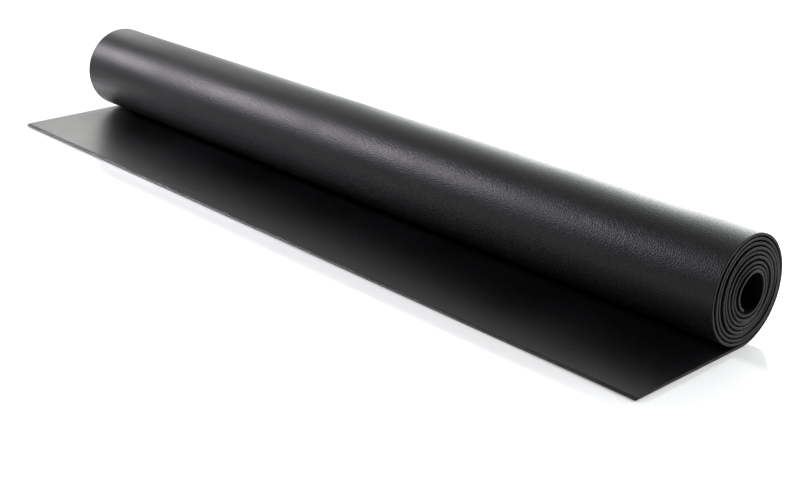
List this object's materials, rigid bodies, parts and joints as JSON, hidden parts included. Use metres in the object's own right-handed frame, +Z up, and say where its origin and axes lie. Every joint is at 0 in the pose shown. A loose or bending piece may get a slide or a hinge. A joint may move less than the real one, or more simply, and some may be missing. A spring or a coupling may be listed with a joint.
{
  "type": "rolled floor mat",
  "caption": "Flexible black floor mat, loosely rolled with a flat flap lying out in front. Unrolls flat to protect the floor under a chair or equipment.",
  "frame": {"origin": "bottom centre of the whole mat, on the floor: half way along the roll, and half way from the flap's free edge to the far side of the roll", "axes": "+X along the roll's axis, +Y away from the flap, +Z up"},
  "size_m": [0.914, 0.1844, 0.0977],
  "materials": {
    "mat_sheet": "leather-grained, satin"
  },
  "bodies": {
    "floor_strip": {"floor_strip": "mat_sheet"},
    "turn_strip_01": {"turn_strip_01": "mat_sheet"},
    "turn_strip_02": {"turn_strip_02": "mat_sheet"},
    "turn_strip_03": {"turn_strip_03": "mat_sheet"},
    "turn_strip_04": {"turn_strip_04": "mat_sheet"},
    "turn_strip_05": {"turn_strip_05": "mat_sheet"},
    "turn_strip_06": {"turn_strip_06": "mat_sheet"},
    "turn_strip_07": {"turn_strip_07": "mat_sheet"},
    "turn_strip_08": {"turn_strip_08": "mat_sheet"},
    "turn_strip_09": {"turn_strip_09": "mat_sheet"},
    "turn_strip_10": {"turn_strip_10": "mat_sheet"},
    "turn_strip_11": {"turn_strip_11": "mat_sheet"},
    "turn_strip_12": {"turn_strip_12": "mat_sheet"},
    "turn_strip_13": {"turn_strip_13": "mat_sheet"},
    "turn_strip_14": {"turn_strip_14": "mat_sheet"},
    "inner_roll": {"inner_roll": "mat_sheet"},
    "flap_strip_1": {"flap_strip_1": "mat_sheet"},
    "flap_strip_2": {"flap_strip_2": "mat_sheet"},
    "flap_strip_3": {"flap_strip_3": "mat_sheet"},
    "flap_strip_4": {"flap_strip_4": "mat_sheet"},
    "flap_strip_5": {"flap_strip_5": "mat_sheet"},
    "flap_strip_6": {"flap_strip_6": "mat_sheet"}
  },
  "joints": [
    {"name": "unroll_15", "type": "hinge", "parent": "inner_roll", "child": "turn_strip_14", "pos_m": [0, 0.03359, 0.00419], "axis": [1, 0, 0], "range_deg": [0, 24], "stiffness_Nm_per_rad": 0.6},
    {"name": "unroll_14", "type": "hinge", "parent": "turn_strip_14", "child": "turn_strip_13", "pos_m": [0, 0.01583, 0.0121], "axis": [1, 0, 0], "range_deg": [0, 24], "stiffness_Nm_per_rad": 0.6},
    {"name": "unroll_13", "type": "hinge", "parent": "turn_strip_13", "child": "turn_strip_12", "pos_m": [0, 0.00276, 0.02661], "axis": [1, 0, 0], "range_deg": [0, 24], "stiffness_Nm_per_rad": 0.6},
    {"name": "unroll_12", "type": "hinge", "parent": "turn_strip_12", "child": "turn_strip_11", "pos_m": [0, -0.0033, 0.04527], "axis": [1, 0, 0], "range_deg": [0, 24], "stiffness_Nm_per_rad": 0.6},
    {"name": "unroll_11", "type": "hinge", "parent": "turn_strip_11", "child": "turn_strip_10", "pos_m": [0, -0.00124, 0.06483], "axis": [1, 0, 0], "range_deg": [0, 24], "stiffness_Nm_per_rad": 0.6},
    {"name": "unroll_10", "type": "hinge", "parent": "turn_strip_10", "child": "turn_strip_09", "pos_m": [0, 0.00862, 0.08192], "axis": [1, 0, 0], "range_deg": [0, 24], "stiffness_Nm_per_rad": 0.6},
    {"name": "unroll_09", "type": "hinge", "parent": "turn_strip_09", "child": "turn_strip_08", "pos_m": [0, 0.02464, 0.09356], "axis": [1, 0, 0], "range_deg": [0, 24], "stiffness_Nm_per_rad": 0.6},
    {"name": "unroll_08", "type": "hinge", "parent": "turn_strip_08", "child": "turn_strip_07", "pos_m": [0, 0.04406, 0.09769], "axis": [1, 0, 0], "range_deg": [0, 24], "stiffness_Nm_per_rad": 0.6},
    {"name": "unroll_07", "type": "hinge", "parent": "turn_strip_07", "child": "turn_strip_06", "pos_m": [0, 0.06357, 0.09354], "axis": [1, 0, 0], "range_deg": [0, 24], "stiffness_Nm_per_rad": 0.6},
    {"name": "unroll_06", "type": "hinge", "parent": "turn_strip_06", "child": "turn_strip_05", "pos_m": [0, 0.07978, 0.08177], "axis": [1, 0, 0], "range_deg": [0, 24], "stiffness_Nm_per_rad": 0.6},
    {"name": "unroll_05", "type": "hinge", "parent": "turn_strip_05", "child": "turn_strip_04", "pos_m": [0, 0.08985, 0.06432], "axis": [1, 0, 0], "range_deg": [0, 24], "stiffness_Nm_per_rad": 0.6},
    {"name": "unroll_04", "type": "hinge", "parent": "turn_strip_04", "child": "turn_strip_03", "pos_m": [0, 0.09197, 0.04416], "axis": [1, 0, 0], "range_deg": [0, 24], "stiffness_Nm_per_rad": 0.6},
    {"name": "unroll_03", "type": "hinge", "parent": "turn_strip_03", "child": "turn_strip_02", "pos_m": [0, 0.08566, 0.02476], "axis": [1, 0, 0], "range_deg": [0, 24], "stiffness_Nm_per_rad": 0.6},
    {"name": "unroll_02", "type": "hinge", "parent": "turn_strip_02", "child": "turn_strip_01", "pos_m": [0, 0.07192, 0.0095], "axis": [1, 0, 0], "range_deg": [0, 24], "stiffness_Nm_per_rad": 0.6},
    {"name": "unroll", "type": "hinge", "parent": "turn_strip_01", "child": "floor_strip", "pos_m": [0, 0.05304, 0.00109], "axis": [1, 0, 0], "range_deg": [0, 24], "stiffness_Nm_per_rad": 0.6},
    {"name": "lift_flap", "type": "hinge", "parent": "floor_strip", "child": "flap_strip_1", "pos_m": [0, 0.03227, 0.0025], "axis": [-1, 0, 0], "range_deg": [0, 14], "stiffness_Nm_per_rad": 0.6},
    {"name": "lift_flap_2", "type": "hinge", "parent": "flap_strip_1", "child": "flap_strip_2", "pos_m": [0, 0.01152, 0.0025], "axis": [-1, 0, 0], "range_deg": [0, 14], "stiffness_Nm_per_rad": 0.6},
    {"name": "lift_flap_3", "type": "hinge", "parent": "flap_strip_2", "child": "flap_strip_3", "pos_m": [0, -0.00922, 0.0025], "axis": [-1, 0, 0], "range_deg": [0, 14], "stiffness_Nm_per_rad": 0.6},
    {"name": "lift_flap_4", "type": "hinge", "parent": "flap_strip_3", "child": "flap_strip_4", "pos_m": [0, -0.02997, 0.0025], "axis": [-1, 0, 0], "range_deg": [0, 14], "stiffness_Nm_per_rad": 0.6},
    {"name": "lift_flap_5", "type": "hinge", "parent": "flap_strip_4", "child": "flap_strip_5", "pos_m": [0, -0.05071, 0.0025], "axis": [-1, 0, 0], "range_deg": [0, 14], "stiffness_Nm_per_rad": 0.6},
    {"name": "lift_flap_6", "type": "hinge", "parent": "flap_strip_5", "child": "flap_strip_6", "pos_m": [0, -0.07146, 0.0025], "axis": [-1, 0, 0], "range_deg": [0, 14], "stiffness_Nm_per_rad": 0.6}
  ],
  "couplings": [
    {"joint": "unroll_15", "follows": "unroll", "ratio": 1},
    {"joint": "unroll_14", "follows": "unroll", "ratio": 1},
    {"joint": "unroll_13", "follows": "unroll", "ratio": 1},
    {"joint": "unroll_12", "follows": "unroll", "ratio": 1},
    {"joint": "unroll_11", "follows": "unroll", "ratio": 1},
    {"joint": "unroll_10", "follows": "unroll", "ratio": 1},
    {"joint": "unroll_09", "follows": "unroll", "ratio": 1},
    {"joint": "unroll_08", "follows": "unroll", "ratio": 1},
    {"joint": "unroll_07", "follows": "unroll", "ratio": 1},
    {"joint": "unroll_06", "follows": "unroll", "ratio": 1},
    {"joint": "unroll_05", "follows": "unroll", "ratio": 1},
    {"joint": "unroll_04", "follows": "unroll", "ratio": 1},
    {"joint": "unroll_03", "follows": "unroll", "ratio": 1},
    {"joint": "unroll_02", "follows": "unroll", "ratio": 1},
    {"joint": "lift_flap_2", "follows": "lift_flap", "ratio": 1},
    {"joint": "lift_flap_3", "follows": "lift_flap", "ratio": 1},
    {"joint": "lift_flap_4", "follows": "lift_flap", "ratio": 1},
    {"joint": "lift_flap_5", "follows": "lift_flap", "ratio": 1},
    {"joint": "lift_flap_6", "follows": "lift_flap", "ratio": 1}
  ]
}
